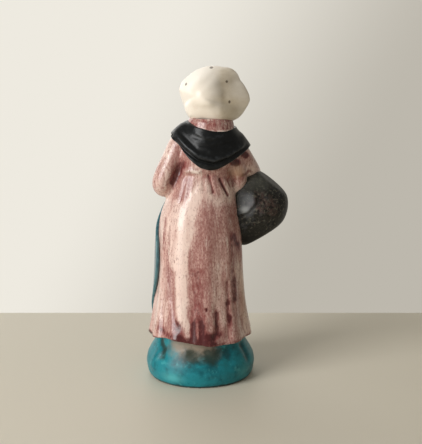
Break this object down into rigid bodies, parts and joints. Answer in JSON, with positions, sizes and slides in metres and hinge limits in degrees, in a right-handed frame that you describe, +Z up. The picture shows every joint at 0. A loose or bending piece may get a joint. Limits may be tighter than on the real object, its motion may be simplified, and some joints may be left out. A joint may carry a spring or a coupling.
{
  "type": "ceramic lady figurine",
  "caption": "Glazed ceramic figure of a standing lady in a long gown, apron, dark shawl and lobed bonnet, with a round bag under one arm, on a turquoise mound base.",
  "frame": {"origin": "middle of the base's flat foot, on the surface that the figure stands on", "axes": "+Z up; the figure faces -Y, and its right hand and the bag are on the -X side"},
  "size_m": [0.0845, 0.0647, 0.181],
  "materials": {
    "turquoise_glaze": "glossy mottled turquoise glaze",
    "mauve_glaze": "glossy streaked mauve and cream glaze",
    "cream_glaze": "glossy cream glaze with small painted dots",
    "charcoal_glaze": "glossy charcoal glaze",
    "slate_glaze": "mottled charcoal and brown glaze",
    "teal_glaze": "glossy blue teal glaze",
    "flesh_glaze": "pale flesh glaze",
    "brown_glaze": "dark brown glaze"
  },
  "bodies": {
    "root": {"base": "turquoise_glaze", "left_heel": "brown_glaze", "right_heel": "brown_glaze", "left_toe": "brown_glaze", "right_toe": "brown_glaze", "skirt": "mauve_glaze", "apron": "teal_glaze", "waistband": "teal_glaze", "bodice": "mauve_glaze", "left_sleeve": "mauve_glaze", "right_sleeve": "mauve_glaze", "left_hand": "flesh_glaze", "right_hand": "flesh_glaze", "collar": "mauve_glaze", "shawl": "charcoal_glaze", "shawl_knot": "charcoal_glaze", "head": "flesh_glaze", "hair": "brown_glaze", "bonnet_crown": "cream_glaze", "bonnet_brim": "cream_glaze", "bag": "slate_glaze"}
  },
  "joints": []
}
